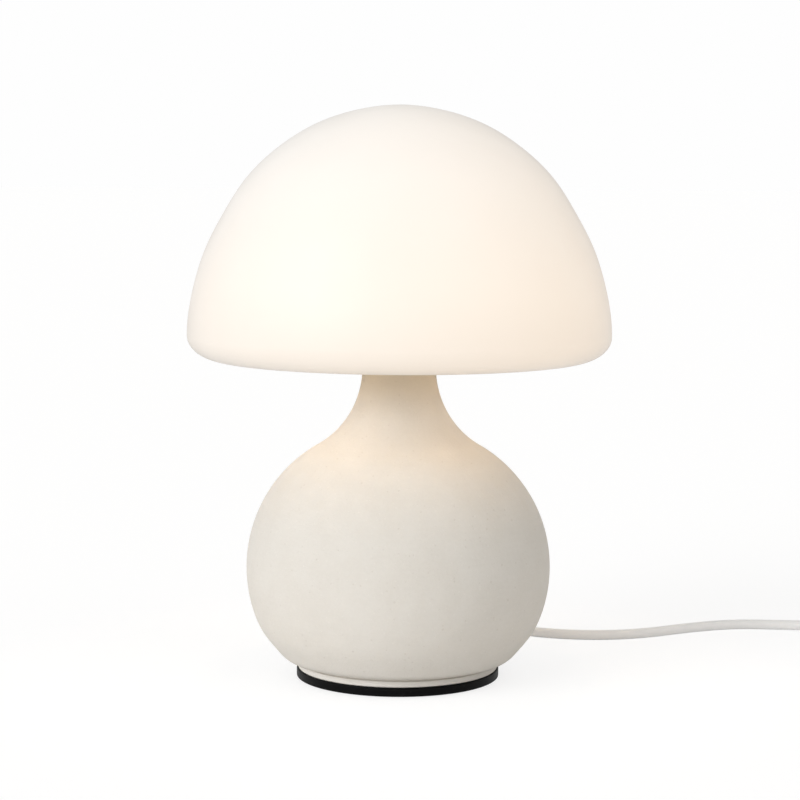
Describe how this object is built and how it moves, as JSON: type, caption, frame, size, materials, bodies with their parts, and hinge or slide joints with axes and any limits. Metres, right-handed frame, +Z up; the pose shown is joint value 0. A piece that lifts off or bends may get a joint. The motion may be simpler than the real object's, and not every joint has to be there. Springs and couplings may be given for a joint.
{
  "type": "table lamp",
  "caption": "Mushroom table lamp: lift-off opal glass dome on a hollow ceramic body, with its lampholder, screw lamp, mains lead, inline rocker switch and plug.",
  "frame": {"origin": "middle of the resting face under the base, on the lamp's axis", "axes": "+Z up along the lamp's axis, -Y to the front; the lead leaves at the back, +Y, and runs to the right, +X"},
  "size_m": [0.5743, 0.2604, 0.3119],
  "materials": {
    "black_enamel": "satin black paint on steel",
    "pad_rubber": "matte cellular rubber",
    "stoneware": "matte, fine-grained off-white stoneware",
    "opal_glass": "satin opal white, lit from inside",
    "zinc_steel": "zinc plated",
    "white_enamel": "white powder coat",
    "silicone": "translucent white silicone",
    "gasket_rubber": "matte grey-white rubber",
    "white_plastic": "fine matte moulding",
    "gloss_white": "glossy white moulding",
    "brass": "plain brass",
    "nickel": "nickel plated",
    "black_insulator": "black glass-like insulator",
    "lamp_glass": "white diffusing bulb, lit",
    "board_white": "white printed board",
    "chip_yellow": "phosphor",
    "cord_white": "smooth satin white sheath",
    "wire_brown_pvc": "brown insulation",
    "wire_blue_pvc": "blue insulation"
  },
  "bodies": {
    "base": {"foot_pad": "pad_rubber", "base_plate": "black_enamel", "ceramic_body": "stoneware", "cord_bushing": "cord_white", "clamp_block": "white_plastic", "clamp_bar": "white_plastic", "clamp_screws": "zinc_steel", "bridge": "zinc_steel", "bridge_screws": "zinc_steel", "bridge_washers": "zinc_steel", "stem_tube": "zinc_steel", "bridge_nuts": "zinc_steel", "neck_gasket": "gasket_rubber", "neck_cap": "white_enamel", "shade_carrier": "white_enamel", "arm_pads": "silicone", "carrier_washer": "zinc_steel", "carrier_nut": "zinc_steel", "holder_cap": "white_plastic", "holder_barrel": "white_plastic", "holder_insert": "gloss_white", "terminal_screws": "brass", "centre_contact": "brass", "side_contact": "brass", "cord_inner": "cord_white", "wire_brown": "wire_brown_pvc", "wire_blue": "wire_blue_pvc", "cord_run": "cord_white", "cord_link": "cord_white", "cord_tail": "cord_white", "cord_coil": "cord_white", "rocker_pin": "zinc_steel", "switch_screws": "zinc_steel", "seesaw_post": "brass", "fixed_contact": "brass", "switch_base": "white_plastic", "switch_cover": "white_plastic", "switch_wires": "wire_blue_pvc", "plug_body": "white_plastic", "plug_pins": "nickel", "pin_sleeves": "black_insulator"},
    "shade": {"glass_shade": "opal_glass"},
    "lamp": {"bulb_tip": "nickel", "bulb_insulator": "black_insulator", "bulb_cap": "nickel", "bulb_housing": "white_plastic", "led_board": "board_white", "led_chips": "chip_yellow", "bulb_globe": "lamp_glass"},
    "rocker": {"switch_rocker": "gloss_white"},
    "seesaw": {"switch_seesaw": "brass"}
  },
  "joints": [
    {"name": "shade_lift", "type": "slide", "parent": "base", "child": "shade", "axis": [0, 0, 1], "range_m": [0, 0.14]},
    {"name": "lamp_out", "type": "slide", "parent": "base", "child": "lamp", "axis": [0, 0, 1], "range_m": [0, 0.017]},
    {"name": "rocker_tip", "type": "hinge", "parent": "base", "child": "rocker", "pos_m": [0.311, 0.118, 0.0126], "axis": [0, -1, 0], "range_deg": [0, 20]},
    {"name": "seesaw_tip", "type": "hinge", "parent": "base", "child": "seesaw", "pos_m": [0.311, 0.118, 0.0056], "axis": [0, -1, 0], "range_deg": [-10, 0]}
  ],
  "couplings": [
    {"joint": "seesaw_tip", "follows": "rocker_tip", "ratio": -0.5}
  ]
}
